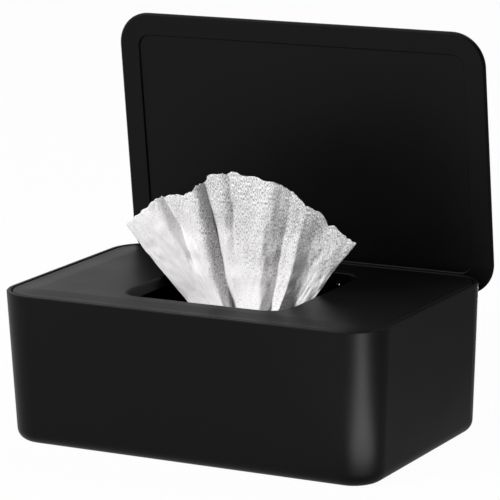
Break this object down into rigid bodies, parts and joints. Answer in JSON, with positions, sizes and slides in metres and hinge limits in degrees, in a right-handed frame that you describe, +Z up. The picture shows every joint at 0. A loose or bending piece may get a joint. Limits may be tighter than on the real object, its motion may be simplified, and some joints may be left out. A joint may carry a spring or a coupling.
{
  "type": "countertop wipes dispenser",
  "caption": "Low rounded box for folded wipes with a swing-up lid, a lift-out inner deck with a wide opening, and a pleated wipe pulled up through it.",
  "frame": {"origin": "on the table, below the middle of the tub", "axes": "+X along the box to its right end, +Y to the hinge side at the back, +Z up"},
  "size_m": [0.19, 0.1277, 0.1814],
  "materials": {
    "black_plastic": "satin",
    "pin_steel": "satin",
    "foot_rubber": "matte",
    "wipe_cloth": "soft nonwoven"
  },
  "bodies": {
    "tub": {"tub": "black_plastic", "foot_front_left": "foot_rubber", "foot_front_right": "foot_rubber", "foot_rear_left": "foot_rubber", "foot_rear_right": "foot_rubber", "wipe_stack": "wipe_cloth"},
    "deck": {"deck": "black_plastic", "hinge_pin": "pin_steel", "wipe": "wipe_cloth"},
    "lid": {"lid": "black_plastic"}
  },
  "joints": [
    {"name": "top_lift", "type": "slide", "parent": "tub", "child": "deck", "axis": [0, 0, 1], "range_m": [0, 0.12]},
    {"name": "lid_hinge", "type": "hinge", "parent": "deck", "child": "lid", "pos_m": [0, 0.05645, 0.06234], "axis": [-1, 0, 0], "range_deg": [-84.8, 25], "deforming": ["wipe"]}
  ]
}
